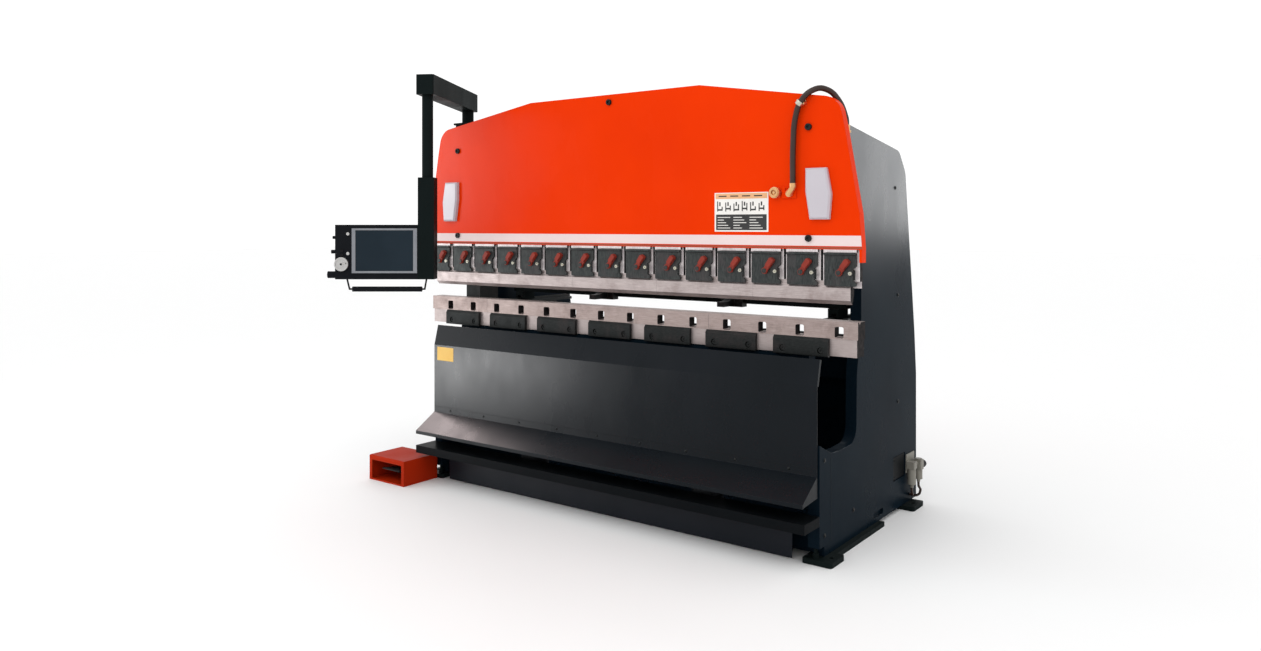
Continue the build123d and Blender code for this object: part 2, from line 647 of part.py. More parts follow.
frame_shape = side_frame_right()
save("left_side_frame", mirror(frame_shape, about=Plane.YZ))
save("right_side_frame", frame_shape - service_recess())
save("foot_pads", foot_pads())
save("cross_beams", cross_beams())
save("rear_cover", rear_cover())
save("kick_plate", kick_plate())
save("step_ledge", step_ledge())
save("table_guides", table_guides())
save("lift_cylinders", [lift_cylinder(-ram_x), lift_cylinder(ram_x)])
save("oil_tank", oil_tank())
save("pump_motor", pump_motor())
save("upper_beam", upper_beam())
save("beam_bolts", beam_bolts())
save("beam_side_covers", beam_side_covers())
save("punch_holders", [punch_holder(x) for x in holder_centres()])
save("clamp_plates", [clamp_plate(x) for x in holder_centres()])
save("clamp_screws", [screw for x in holder_centres() for screw in clamp_screws(x)])
save("upper_punch", upper_punch())
save("pressure_hose", pressure_hose())
save("hose_fittings", hose_fittings())
save("air_regulator", air_regulator())
save("regulator_hose", regulator_hoses())
save("backgauge_rails", backgauge_rails())
save("console_post", console_post())
save("foot_switch_housing", foot_switch_housing())
for number, centre in enumerate(holder_centres(), 1):
    save(f"clamp_lever_{number:02d}", clamp_lever(centre))

save("lower_table", lower_table())
save("ram_rods", [ram_rod(-ram_x), ram_rod(ram_x)])
save("die_rail", die_rail())
save("v_die", v_die())
save("die_clamps", die_clamps())
save("die_clamp_screws", die_clamp_screws())
save("front_cover", front_cover())

save("backgauge_beam", backgauge_beam())
save("backgauge_finger_left", backgauge_finger(-385))
save("backgauge_finger_right", backgauge_finger(540))

save("console_arm", console_arm())
save("console_sleeve", console_sleeve())
save("console_housing", console_housing())
save("screen_bezel", screen_bezel())
save("screen_glass", screen_glass())
save("console_handle", console_handle())
save("handwheel", handwheel())
save("start_button", console_button(1566))
save("select_button", console_button(1452))

save("foot_pedal", foot_pedal())
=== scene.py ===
import math

import bmesh
import bpy
from mathutils import Matrix, Vector


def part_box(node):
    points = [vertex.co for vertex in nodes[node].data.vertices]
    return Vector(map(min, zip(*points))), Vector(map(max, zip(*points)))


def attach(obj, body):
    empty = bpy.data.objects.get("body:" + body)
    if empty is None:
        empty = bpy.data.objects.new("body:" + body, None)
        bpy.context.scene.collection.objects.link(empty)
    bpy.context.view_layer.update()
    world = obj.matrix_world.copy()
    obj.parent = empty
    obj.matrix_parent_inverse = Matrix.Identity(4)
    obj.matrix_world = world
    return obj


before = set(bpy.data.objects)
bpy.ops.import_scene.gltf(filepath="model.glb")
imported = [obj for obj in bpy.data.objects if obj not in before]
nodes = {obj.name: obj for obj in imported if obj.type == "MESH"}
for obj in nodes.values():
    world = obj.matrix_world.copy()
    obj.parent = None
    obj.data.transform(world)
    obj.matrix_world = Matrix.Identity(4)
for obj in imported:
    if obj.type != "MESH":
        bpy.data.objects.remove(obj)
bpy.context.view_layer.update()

scene = bpy.context.scene


# ---- small helpers --------------------------------------------------------------------------
def new_object(name, bm, material, body, smooth=False):
    """Turn a bmesh into a piece that rides on a body, or stands by itself without one."""
    mesh = bpy.data.meshes.new(name)
    bmesh.ops.recalc_face_normals(bm, faces=bm.faces)
    bm.to_mesh(mesh)
    bm.free()
    for face in mesh.polygons:
        face.use_smooth = smooth
    obj = bpy.data.objects.new(name, mesh)
    scene.collection.objects.link(obj)
    obj.data.materials.append(material)
    if body is not None:
        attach(obj, body)
    return obj


def add_box(bm, lo, hi, bevel=0.0):
    """A box with softened edges between two corners."""
    lo, hi = Vector(lo), Vector(hi)
    made = bmesh.ops.create_cube(bm, size=1.0, matrix=Matrix.Translation((lo + hi) / 2)
                                 @ Matrix.Diagonal((*(hi - lo), 1)))
    if bevel:
        edges = list({e for v in made["verts"] for e in v.link_edges})
        bmesh.ops.bevel(bm, geom=edges, offset=bevel, segments=2, affect="EDGES", profile=0.5)


def frame_of(axis):
    """A rotation that takes +Z to the given direction."""
    return Vector(axis).normalized().to_track_quat("Z", "Y").to_matrix().to_4x4()


def add_disc(bm, centre, axis, radius, height, sides, top=None):
    """A short cylinder standing on centre along axis, tapered to the top radius if given."""
    at = Matrix.Translation(Vector(centre) + Vector(axis).normalized() * height / 2)
    bmesh.ops.create_cone(bm, cap_ends=True, segments=sides, radius1=radius,
                          radius2=radius if top is None else top, depth=height,
                          matrix=at @ frame_of(axis))


def add_screw(bm, centre, axis, radius):
    """A washer, a pan head and the rim of its hexagonal recess."""
    axis = Vector(axis).normalized()
    centre = Vector(centre)
    washer, head, rim = radius * 0.18, radius * 0.45, radius * 0.03
    add_disc(bm, centre, axis, radius * 1.35, washer, 28)
    add_disc(bm, centre + axis * washer, axis, radius, head, 24, radius * 0.82)
    add_disc(bm, centre + axis * (washer + head), axis, radius * 0.42, rim, 6)


def add_turned(bm, at, profile, hoop, sides=48):
    """A shape turned about Z of the matrix at, from rings of (height, radius, flute depth).

    Every fourth corner of a ring is cut in by its flute depth. A hoop closes on itself, and
    anything else is capped at both ends.
    """
    rings = []
    for height, radius, flute in profile:
        ring = []
        for i in range(sides):
            angle = math.tau * i / sides
            r = radius - (flute if i % 4 == 0 else 0.0)
            ring.append(bm.verts.new(at @ Vector((r * math.cos(angle), r * math.sin(angle),
                                                  height))))
        rings.append(ring)
    for one, two in zip(rings, rings[1:] + rings[:1] if hoop else rings[1:]):
        for i in range(sides):
            j = (i + 1) % sides
            bm.faces.new((one[i], one[j], two[j], two[i]))
    if not hoop:
        bm.faces.new(rings[-1])
        bm.faces.new(list(reversed(rings[0])))


# ---- materials ------------------------------------------------------------------------------
def start(name):
    """An empty material with its shader and object coordinates."""
    mat = bpy.data.materials.new(name)
    mat.use_nodes = True
    tree = mat.node_tree
    for node in list(tree.nodes):
        tree.nodes.remove(node)
    out = tree.nodes.new("ShaderNodeOutputMaterial")
    shader = tree.nodes.new("ShaderNodeBsdfPrincipled")
    tree.links.new(shader.outputs[0], out.inputs[0])
    where = tree.nodes.new("ShaderNodeTexCoord")
    return mat, tree, shader, where


def noise(tree, where, scale, detail=4.0, stretch=None, rough=0.55):
    """Cloud noise in the object's coordinates, stretched first if stretch is given."""
    source = where.outputs["Object"]
    if stretch:
        mapping = tree.nodes.new("ShaderNodeMapping")
        mapping.inputs["Scale"].default_value = stretch
        tree.links.new(source, mapping.inputs["Vector"])
        source = mapping.outputs["Vector"]
    tex = tree.nodes.new("ShaderNodeTexNoise")
    tex.inputs["Scale"].default_value = scale
    tex.inputs["Detail"].default_value = detail
    tex.inputs["Roughness"].default_value = rough
    tree.links.new(source, tex.inputs["Vector"])
    return tex.outputs["Fac"]


def spread(tree, value, low, high, from_low=0.3, from_high=0.7):
    """Stretch the middle of a noise, or another range, over low to high."""
    remap = tree.nodes.new("ShaderNodeMapRange")
    remap.inputs["From Min"].default_value = from_low
    remap.inputs["From Max"].default_value = from_high
    remap.inputs["To Min"].default_value = low
    remap.inputs["To Max"].default_value = high
    tree.links.new(value, remap.inputs["Value"])
    return remap.outputs["Result"]


def blend_colours(tree, factor, first, second):
    """Mix two colours, each a tuple or a socket, by a factor socket."""
    mix = tree.nodes.new("ShaderNodeMix")
    mix.data_type = "RGBA"
    tree.links.new(factor, mix.inputs[0])
    for socket, colour in ((mix.inputs[6], first), (mix.inputs[7], second)):
        if isinstance(colour, tuple):
            socket.default_value = (*colour, 1)
        else:
            tree.links.new(colour, socket)
    return mix.outputs[2]


def maths(tree, operation, first, second=None):
    """One sum on one or two sockets."""
    node = tree.nodes.new("ShaderNodeMath")
    node.operation = operation
    tree.links.new(first, node.inputs[0])
    if second is not None:
        tree.links.new(second, node.inputs[1])
    return node.outputs[0]


def rounded_normal(tree, radius):
    """The normal with the piece's sharp edges rounded off in shading."""
    bevel = tree.nodes.new("ShaderNodeBevel")
    bevel.samples = 4
    bevel.inputs["Radius"].default_value = radius
    return bevel.outputs[0]


def facing(tree, direction=None, normal=None):
    """The surface's own normal along a fixed direction or another normal."""
    geometry = tree.nodes.new("ShaderNodeNewGeometry")
    dot = tree.nodes.new("ShaderNodeVectorMath")
    dot.operation = "DOT_PRODUCT"
    tree.links.new(geometry.outputs["Normal"], dot.inputs[0])
    if normal is None:
        dot.inputs[1].default_value = direction
    else:
        tree.links.new(normal, dot.inputs[1])
    return dot.outputs["Value"]


def edge_mask(tree, rounded):
    """White on the rounded edges of a piece, black on its flats."""
    return spread(tree, facing(tree, normal=rounded), 1.0, 0.0, 0.72, 0.97)


def bump(tree, shader, rounded, height, strength, distance):
    """Raise a height field over the rounded normal."""
    node = tree.nodes.new("ShaderNodeBump")
    node.inputs["Strength"].default_value = strength
    node.inputs["Distance"].default_value = distance
    tree.links.new(height, node.inputs["Height"])
    tree.links.new(rounded, node.inputs["Normal"])
    tree.links.new(node.outputs["Normal"], shader.inputs["Normal"])


def enamel(name, colour, dark, edge, rough, spec, peel=0.12, radius=0.003, wear=0.55):
    """Sprayed enamel: orange peel, cloudy shade, handling marks and thin worn edges."""
    mat, tree, shader, where = start(name)
    clouds = spread(tree, noise(tree, where, 1.6, 3.0), 0.0, 1.0)
    base = blend_colours(tree, clouds, colour, dark)
    rounded = rounded_normal(tree, radius)
    chips = spread(tree, noise(tree, where, 60.0, 6.0, rough=0.7), 0.0, wear, 0.45, 0.62)
    worn = maths(tree, "MULTIPLY", edge_mask(tree, rounded), chips)
    tree.links.new(blend_colours(tree, worn, base, edge), shader.inputs["Base Color"])
    smudges = spread(tree, noise(tree, where, 5.0, 5.0, stretch=(1.0, 1.0, 0.5)), *rough)
    tree.links.new(smudges, shader.inputs["Roughness"])
    shader.inputs["Specular IOR Level"].default_value = spec
    bump(tree, shader, rounded, noise(tree, where, 260.0, 2.0), peel, 0.0006)
    return mat


def steel(name, light, dark, rough=(0.24, 0.42), stretch=(3.0, 120.0, 120.0), metallic=0.9,
          edge=(0.85, 0.83, 0.82), stains=None, spec=0.4, end_shade=None):
    """Ground or turned steel: long grinding lines, oil clouding and bright edges.

    With end_shade given, the faces square to the machine's length are painted that near-black
    colour as painted shade.
    """
    mat, tree, shader, where = start(name)
    lines = noise(tree, where, 6.0, 5.0, stretch=stretch, rough=0.65)
    base = blend_colours(tree, spread(tree, lines, 0.0, 1.0), light, dark)
    if stains:
        patches = spread(tree, noise(tree, where, 7.0, 6.0, rough=0.7), 0.0, 0.6, 0.5, 0.72)
        base = blend_colours(tree, patches, base, stains)
    rounded = rounded_normal(tree, 0.0015)
    base = blend_colours(tree, edge_mask(tree, rounded), base, edge)
    # Painted shade: the end faces take a near-black colour and lose their metal, so they look
    # unlit.
    if end_shade:
        along = maths(tree, "ABSOLUTE", facing(tree, direction=(1.0, 0.0, 0.0)))
        ends = spread(tree, along, 0.0, 1.0, 0.7, 0.9)
        end_shade_mottle = spread(tree, noise(tree, where, 45.0, 5.0), 0.0, 0.10)
        base = blend_colours(tree, ends, base, blend_colours(tree, end_shade_mottle, end_shade, dark))
        tree.links.new(spread(tree, ends, metallic, 0.0, 0.0, 1.0), shader.inputs["Metallic"])
        shader.inputs["Specular IOR Level"].default_value = 0.01
    else:
        shader.inputs["Metallic"].default_value = metallic
        shader.inputs["Specular IOR Level"].default_value = spec
    tree.links.new(base, shader.inputs["Base Color"])
    tree.links.new(spread(tree, noise(tree, where, 18.0, 4.0), *rough),
                   shader.inputs["Roughness"])
    bump(tree, shader, rounded, lines, 0.12, 0.0004)
    return mat


def plastic(name, colour, dark, rough=(0.42, 0.58), grain=0.3, radius=0.0015,
            grain_scale=900.0, spec=0.2):
    """Moulded or powder-coated surface with a fine even texture."""
    mat, tree, shader, where = start(name)
    clouds = spread(tree, noise(tree, where, 9.0, 4.0), 0.0, 1.0)
    tree.links.new(blend_colours(tree, clouds, colour, dark), shader.inputs["Base Color"])
    tree.links.new(spread(tree, noise(tree, where, 25.0, 4.0), *rough),
                   shader.inputs["Roughness"])
    shader.inputs["Specular IOR Level"].default_value = spec
    bump(tree, shader, rounded_normal(tree, radius), noise(tree, where, grain_scale, 2.0),
         grain, 0.0003)
    return mat


end_shade_colour = (0.010, 0.010, 0.011)          # painted shade for the end faces of the ground bars
beam_paint = enamel("beam_enamel", (0.76, 0.036, 0.0006), (0.70, 0.030, 0.0005),
                    (0.82, 0.16, 0.07), rough=(0.22, 0.32), peel=0.06, wear=0.35, spec=0.02)
frame_paint = enamel("frame_enamel", (0.004, 0.010, 0.016), (0.003, 0.007, 0.012),
                     (0.04, 0.05, 0.06), rough=(0.24, 0.34), spec=0.015)
cover_paint = enamel("cover_enamel", (0.004, 0.006, 0.009), (0.002, 0.004, 0.006),
                     (0.07, 0.08, 0.09), rough=(0.24, 0.34), spec=0.12)
kick_paint = enamel("kick_enamel", (0.011, 0.013, 0.018), (0.008, 0.010, 0.014),
                    (0.07, 0.08, 0.09), rough=(0.28, 0.38), spec=0.10)
ledge_paint = enamel("ledge_enamel", (0.006, 0.007, 0.008), (0.004, 0.005, 0.006),
                     (0.05, 0.05, 0.05), rough=(0.30, 0.42), spec=0.02)
hatch_enamel = enamel("hatch_enamel", (0.006, 0.007, 0.008), (0.004, 0.005, 0.006),
                      (0.05, 0.05, 0.05), rough=(0.30, 0.42), radius=0.002, spec=0.03)
unit_paint = enamel("unit_enamel", (0.24, 0.23, 0.20), (0.18, 0.17, 0.145), (0.50, 0.48, 0.43),
                    rough=(0.34, 0.48), radius=0.002, spec=0.2)
pale_paint = enamel("pale_enamel", (0.52, 0.49, 0.53), (0.46, 0.43, 0.47), (0.90, 0.88, 0.90),
                    rough=(0.35, 0.5), radius=0.004, spec=0.3)
white_band = enamel("band_enamel", (0.76, 0.63, 0.62), (0.70, 0.57, 0.56), (0.85, 0.7, 0.65),
                    rough=(0.35, 0.45), radius=0.0005, wear=0.1, spec=0.1)
# Darkened brown-orange: painted shade on the beam's orange lower edge.
lip_shade_paint = enamel("lip_shade_paint", (0.36, 0.085, 0.050), (0.28, 0.060, 0.036), (0.50, 0.15, 0.09),
                   rough=(0.35, 0.5), radius=0.0005, wear=0.2, spec=0.05)
black_paint = enamel("black_enamel", (0.008, 0.012, 0.012), (0.006, 0.009, 0.009),
                     (0.05, 0.06, 0.06), rough=(0.32, 0.46), spec=0.012)
grey_paint = enamel("grey_enamel", (0.20, 0.22, 0.24), (0.15, 0.17, 0.19), (0.4, 0.4, 0.42),
                    rough=(0.4, 0.55), spec=0.2)
foot_paint = enamel("foot_enamel", (0.40, 0.022, 0.003), (0.30, 0.016, 0.003),
                    (0.60, 0.14, 0.06), rough=(0.38, 0.52), radius=0.004, wear=0.6, spec=0.03)
# The four ground-steel finishes below carry painted shade on their end faces.
punch_steel = steel("punch_steel", (0.56, 0.49, 0.48), (0.32, 0.27, 0.26), metallic=0.8,
                    rough=(0.30, 0.50), stains=(0.22, 0.17, 0.16), edge=(0.64, 0.58, 0.56),
                    end_shade=end_shade_colour)
die_steel = steel("die_steel", (0.44, 0.36, 0.34), (0.26, 0.205, 0.19), metallic=0.8,
                  rough=(0.32, 0.52), stains=(0.15, 0.11, 0.10), edge=(0.55, 0.48, 0.46),
                  end_shade=end_shade_colour)
rail_steel = steel("rail_steel", (0.47, 0.41, 0.40), (0.32, 0.27, 0.26), metallic=0.75,
                   rough=(0.34, 0.50), stains=(0.32, 0.26, 0.25), edge=(0.70, 0.66, 0.64),
                   end_shade=end_shade_colour)
holder_steel = steel("holder_steel", (0.86, 0.80, 0.80), (0.52, 0.47, 0.47), metallic=0.6,
                     rough=(0.36, 0.54), stretch=(90.0, 90.0, 5.0), stains=(0.30, 0.25, 0.25),
                     edge=(0.88, 0.84, 0.84), end_shade=end_shade_colour)
dark_steel = steel("dark_steel", (0.026, 0.028, 0.028), (0.012, 0.014, 0.014), metallic=0.6,
                   rough=(0.34, 0.52), stretch=(8.0, 40.0, 40.0), edge=(0.09, 0.095, 0.095),
                   stains=(0.045, 0.035, 0.035), spec=0.15)
clamp_steel = steel("clamp_steel", (0.062, 0.068, 0.066), (0.020, 0.023, 0.024), metallic=0.5,
                    rough=(0.3, 0.5), stretch=(30.0, 30.0, 6.0), edge=(0.15, 0.155, 0.155),
                    stains=(0.075, 0.060, 0.062), spec=0.15)
zinc_steel = steel("zinc_steel", (0.62, 0.60, 0.50), (0.45, 0.44, 0.36),
                   stretch=(50.0, 50.0, 50.0))
cast_iron = plastic("cast_iron", (0.055, 0.06, 0.065), (0.03, 0.033, 0.037), rough=(0.5, 0.68),
                    grain=0.5, grain_scale=350.0)
ram_chrome = steel("ram_chrome", (0.78, 0.78, 0.80), (0.70, 0.70, 0.72), rough=(0.06, 0.14),
                   metallic=1.0)
brass = steel("brass", (0.78, 0.46, 0.22), (0.60, 0.34, 0.15), rough=(0.25, 0.42),
              stretch=(60.0, 60.0, 60.0), edge=(0.95, 0.72, 0.5))
black_moulding = plastic("black_moulding", (0.010, 0.010, 0.011), (0.006, 0.006, 0.007),
                         rough=(0.40, 0.55), grain=0.4, spec=0.08)
hose_rubber = plastic("hose_rubber", (0.042, 0.019, 0.014), (0.022, 0.011, 0.008),
                      rough=(0.28, 0.40), grain=0.35, grain_scale=500.0, spec=0.35)
lever_red = plastic("lever_red", (0.28, 0.034, 0.020), (0.20, 0.024, 0.015), rough=(0.35, 0.5),
                    grain=0.25, spec=0.2)
black_plastic = plastic("console_black", (0.007, 0.008, 0.010), (0.005, 0.006, 0.008),
                        rough=(0.42, 0.56), grain=0.45, spec=0.05)
bezel_grey = plastic("bezel_grey", (0.24, 0.25, 0.27), (0.19, 0.20, 0.22), rough=(0.35, 0.45),
                     spec=0.1)
wheel_alu = steel("wheel_aluminium", (0.56, 0.55, 0.54), (0.42, 0.42, 0.41), rough=(0.28, 0.42),
                  metallic=0.85, stretch=(40.0, 40.0, 40.0))
pedal_rubber = plastic("pedal_rubber", (0.022, 0.022, 0.022), (0.014, 0.014, 0.014),
                       rough=(0.6, 0.75), grain=0.5)


def screen_material():
    """Dark display with a cool tint under a glossy cover."""
    mat, tree, shader, where = start("display_glass")
    haze = spread(tree, noise(tree, where, 3.0, 2.0), 0.0, 1.0)
    tree.links.new(blend_colours(tree, haze, (0.008, 0.016, 0.024), (0.012, 0.022, 0.032)),
                   shader.inputs["Base Color"])
    tree.links.new(spread(tree, noise(tree, where, 40.0, 3.0), 0.10, 0.18),
                   shader.inputs["Roughness"])
    shader.inputs["Specular IOR Level"].default_value = 0.12
    return mat


display = screen_material()
print_finish = {"rough": (0.4, 0.5), "grain": 0.05, "radius": 0.0003}
label_white = plastic("label_white", (0.82, 0.80, 0.76), (0.74, 0.72, 0.69), **print_finish)
label_dark = plastic("label_dark", (0.045, 0.045, 0.045), (0.03, 0.03, 0.03), **print_finish)
label_tan = plastic("label_tan", (0.75, 0.42, 0.22), (0.68, 0.37, 0.19), **print_finish)
label_yellow = plastic("label_yellow", (0.86, 0.56, 0.16), (0.80, 0.50, 0.13), **print_finish)
groove_dark = plastic("groove_dark", (0.004, 0.005, 0.006), (0.003, 0.004, 0.005),
                      rough=(0.6, 0.7), grain=0.05, radius=0.0003)

finish_of = {
    frame_paint: ["left_side_frame", "right_side_frame", "cross_beams", "rear_cover",
                  "lower_table"],
    cover_paint: ["front_cover"], kick_paint: ["kick_plate"], ledge_paint: ["step_ledge"],
    black_paint: ["foot_pads", "console_arm", "console_sleeve", "console_post", "backgauge_beam"],
    beam_paint: ["upper_beam"], pale_paint: ["beam_side_covers"],
    cast_iron: ["table_guides", "lift_cylinders"], grey_paint: ["oil_tank", "pump_motor"],
    dark_steel: ["beam_bolts", "die_clamp_screws", "backgauge_rails", "backgauge_finger_left",
                 "backgauge_finger_right", "die_clamps"],
    clamp_steel: ["clamp_plates"], holder_steel: ["punch_holders"],
    zinc_steel: ["clamp_screws"], punch_steel: ["upper_punch"], die_steel: ["v_die"],
    rail_steel: ["die_rail"], unit_paint: ["air_regulator"],
    hose_rubber: ["pressure_hose", "regulator_hose"], brass: ["hose_fittings"],
    wheel_alu: ["handwheel", "start_button", "select_button"],
    ram_chrome: ["ram_rods"], black_plastic: ["console_housing", "console_handle"],
    bezel_grey: ["screen_bezel"], display: ["screen_glass"], foot_paint: ["foot_switch_housing"],
    pedal_rubber: ["foot_pedal"], lever_red: [n for n in nodes if n.startswith("clamp_lever_")],
}
for material, names in finish_of.items():
    for name in names:
        for place in nodes[name].material_slots:
            place.material = material

# ---- the upper beam's band, plate and small marks -------------------------------------------
beam_lo, beam_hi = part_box("upper_beam")
boss_proud, lug_drop = 0.0075, 0.062
front = beam_lo.y + boss_proud              # the plate's face, behind the hose's boss
edge_low = beam_lo.z + lug_drop             # the plate's lower edge, above the end lugs
slope = 0.012 / 0.171                       # how far the ends lean in as they rise
strip_out, strip_in, strip_wrap = 0.0006, -0.0002, 0.0012


def beam_strip(name, z0, z1, material):
    """A painted stripe across the beam's face, just turned over its two ends."""
    bm = bmesh.new()
    ends = [(z, beam_hi.x - strip_out - (z - edge_low) * slope) for z in (z0, z1)]
    outer, inner = [[[bm.verts.new(p) for p in (
        (-x - out, front + strip_wrap, z), (-x - out, front - out, z),
        (x + out, front - out, z), (x + out, front + strip_wrap, z))]
        for z, x in ends] for out in (strip_out, strip_in)]
    for i in range(3):
        bm.faces.new((outer[0][i], outer[0][i + 1], outer[1][i + 1], outer[1][i]))
        bm.faces.new((inner[1][i], inner[1][i + 1], inner[0][i + 1], inner[0][i]))
        for row in (0, 1):
            bm.faces.new((outer[row][i], outer[row][i + 1], inner[row][i + 1], inner[row][i]))
    for i in (0, 3):
        bm.faces.new((outer[0][i], outer[1][i], inner[1][i], inner[0][i]))
    return new_object(name, bm, material, "main_frame")


beam_strip("beam_band", edge_low + 0.016, edge_low + 0.067, white_band)
# A thin strip below the band in that brown: painted shade along the beam's lower edge.
beam_strip("beam_lip_shade", edge_low + 0.003, edge_low + 0.0125, lip_shade_paint)


def sheet_piece(name, x0, x1, z0, z1, y, thick, material, body, bevel=0.0004):
    """A thin plate standing out of a face that looks to the front."""
    bm = bmesh.new()
    add_box(bm, (x0, y - thick, z0), (x1, y, z1), bevel)
    return new_object(name, bm, material, body)


# A generic instruction plate: pale ground, tan heading, bending symbols and ruled lines.
plate_x0, plate_x1 = beam_hi.x * 0.463, beam_hi.x * 0.672
plate_z0, plate_z1 = edge_low + 0.084, edge_low + 0.286
plate_thick, mark_thick = 0.0012, 0.0004
wide, tall = plate_x1 - plate_x0, plate_z1 - plate_z0
sheet_piece("plate_ground", plate_x0, plate_x1, plate_z0, plate_z1, front, plate_thick,
            label_white, "main_frame")
sheet_piece("plate_heading", plate_x0 + 0.006, plate_x1 - 0.006, plate_z1 - tall * 0.16,
            plate_z1 - 0.004, front - plate_thick, 0.0003, label_tan, "main_frame", 0)


def add_mark(bm, y, x0, x1, z0, z1):
    """A printed rectangle standing out of y, placed in fractions of the plate's sides."""
    add_box(bm, (plate_x0 + wide * x0, y - mark_thick, plate_z0 + tall * z0),
            (plate_x0 + wide * x1, y, plate_z0 + tall * z1))


plate_face = front - plate_thick
bm = bmesh.new()
for i in range(6):                          # a row of small bending diagrams
    x, z = 0.05 + 0.155 * i, 0.52
    up = 0.03 * (i % 2)
    add_mark(bm, plate_face, x, x + 0.018, z, z + 0.26 - 0.03 * (i % 3))
    add_mark(bm, plate_face, x + 0.018, x + 0.085, z + 0.02 + up, z + 0.06 + up)
    add_mark(bm, plate_face, x + 0.085, x + 0.105, z + 0.02, z + 0.12 + 0.03 * (i % 4))
    add_mark(bm, plate_face, x + 0.04, x + 0.065, z + 0.14, z + 0.24)
add_mark(bm, plate_face, 0.03, 0.97, 0.04, 0.44)
new_object("plate_marks", bm, label_dark, "main_frame")
bm = bmesh.new()
for i in range(5):                          # ruled lines of different lengths on the dark band
    z = 0.085 + 0.068 * i
    for j in range(3):
        x = 0.06 + 0.30 * j
        add_mark(bm, plate_face - mark_thick, x, x + 0.24 - 0.04 * ((i + 2 * j) % 4),
                 z, z + 0.018)
new_object("plate_lines", bm, label_white, "main_frame")
bm = bmesh.new()
for i in range(4):                          # and a broken rule along the heading
    x = 0.08 + 0.22 * i
    add_mark(bm, plate_face - 0.0003, x, x + 0.15, 0.895, 0.925)
new_object("plate_heading_rule", bm, label_dark, "main_frame")

# ---- front cover details --------------------------------------------------------------------
cover_lo, cover_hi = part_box("front_cover")
apron_top = cover_lo.z + 0.116              # where the apron folds out of the cover
upright = cover_lo.z + 0.3                  # the cover is one upright face above this height
face_y = min(v.co.y for v in nodes["front_cover"].data.vertices if v.co.z > upright)
sheet_piece("cover_label", cover_lo.x + 0.028, cover_lo.x + 0.176, cover_hi.z - 0.222,
            cover_hi.z - 0.136, face_y, 0.0008, label_yellow, "table")
bm = bmesh.new()
screw_count = 9
for i in range(screw_count):
    x = cover_lo.x + (cover_hi.x - cover_lo.x) * (i + 0.5) / screw_count
    add_screw(bm, (x, face_y, apron_top + 0.020), (0, -1, 0), 0.005)
new_object("cover_screws", bm, dark_steel, "table", True)
bm = bmesh.new()
add_box(bm, (cover_lo.x, face_y - 0.0008, apron_top + 0.036),
        (cover_hi.x, face_y, apron_top + 0.0375))
new_object("cover_fold_line", bm, groove_dark, "table")

# ---- side frames: seam of the front post's cover and small screws ---------------------------
side_lo, side_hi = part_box("right_side_frame")
seam_y, seam_wide, seam_thick = side_lo.y + 0.128, 0.0022, 0.0006
for sign, tag in ((1, "right"), (-1, "left")):
    x = sign * side_hi.x
    outer_x = x + sign * seam_thick
    bm = bmesh.new()
    add_box(bm, (min(x, outer_x), seam_y, side_lo.z + 0.055),
            (max(x, outer_x), seam_y + seam_wide, side_lo.z + 0.478))
    new_object(f"post_seam_{tag}", bm, groove_dark, "main_frame")
    bm = bmesh.new()
    for y, z in ((0.055, 0.10), (0.055, 0.46), (0.52, 0.95), (0.40, 0.14), (1.02, 0.60),
                 (1.02, 1.20), (0.98, 1.80), (0.30, 2.02)):
        add_screw(bm, (x, side_lo.y + y, side_lo.z + z), (sign, 0, 0), 0.008)
    new_object(f"frame_screws_{tag}", bm, dark_steel, "main_frame", True)

# ---- rear guard: a row of screws along its long edges and a centre seam ---------------------
rear_lo, rear_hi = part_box("rear_cover")
end_inset, edge_inset, bays = 0.05, 0.022, 8
bm = bmesh.new()
for i in range(bays + 1):
    x = rear_lo.x + end_inset + (rear_hi.x - rear_lo.x - 2 * end_inset) * i / bays
    for z in (rear_lo.z + edge_inset, rear_hi.z - edge_inset):
        add_screw(bm, (x, rear_hi.y, z), (0, 1, 0), 0.006)
new_object("rear_screws", bm, dark_steel, "main_frame", True)
bm = bmesh.new()
add_box(bm, (-0.0012, rear_hi.y, rear_lo.z + 0.004),
        (0.0012, rear_hi.y + seam_thick, rear_hi.z - 0.004))
new_object("rear_seam", bm, groove_dark, "main_frame")

# ---- console details ------------------------------------------------------------------------
glass_lo, glass_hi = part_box("screen_glass")
glass_thick = 0.0025
console_yaw = math.radians(36.5)            # the console's turn to the operator at rest
across = Vector((math.cos(console_yaw), math.sin(console_yaw), 0))
outward = Vector((math.sin(console_yaw), -math.cos(console_yaw), 0))
screen_wide = (glass_hi.x - glass_lo.x - glass_thick * outward.x) / across.x
screen_tall = glass_hi.z - glass_lo.z
console_frame = Matrix.Translation((glass_lo + glass_hi) / 2) @ Matrix(
    ((*across, 0), (*outward, 0), (0, 0, 1, 0), (0, 0, 0, 1))).transposed()


def console_piece(name, boxes, material):
    """Boxes given across, out and up from the middle of the screen."""
    bm = bmesh.new()
    for r0, r1, o0, o1, u0, u1 in boxes:
        add_box(bm, (r0, o0, u0), (r1, o1, u1), min(0.0008, (o1 - o0) * 0.3))
    bm.transform(console_frame)
    return new_object(name, bm, material, "console")


left_edge = -screen_wide / 2
keys = []
for row in range(3):
    low = -0.060 + 0.026 * row
    keys.append((left_edge - 0.088, left_edge - 0.070, 0.0, 0.0035, low, low + 0.014))
console_piece("console_keys", keys, black_moulding)
seam_up = screen_tall / 2 + 0.024
console_piece("console_face_seam", [
    (left_edge - 0.104, screen_wide / 2 + 0.034, -0.0008, 0.0002, seam_up, seam_up + 0.0015)],
    groove_dark)

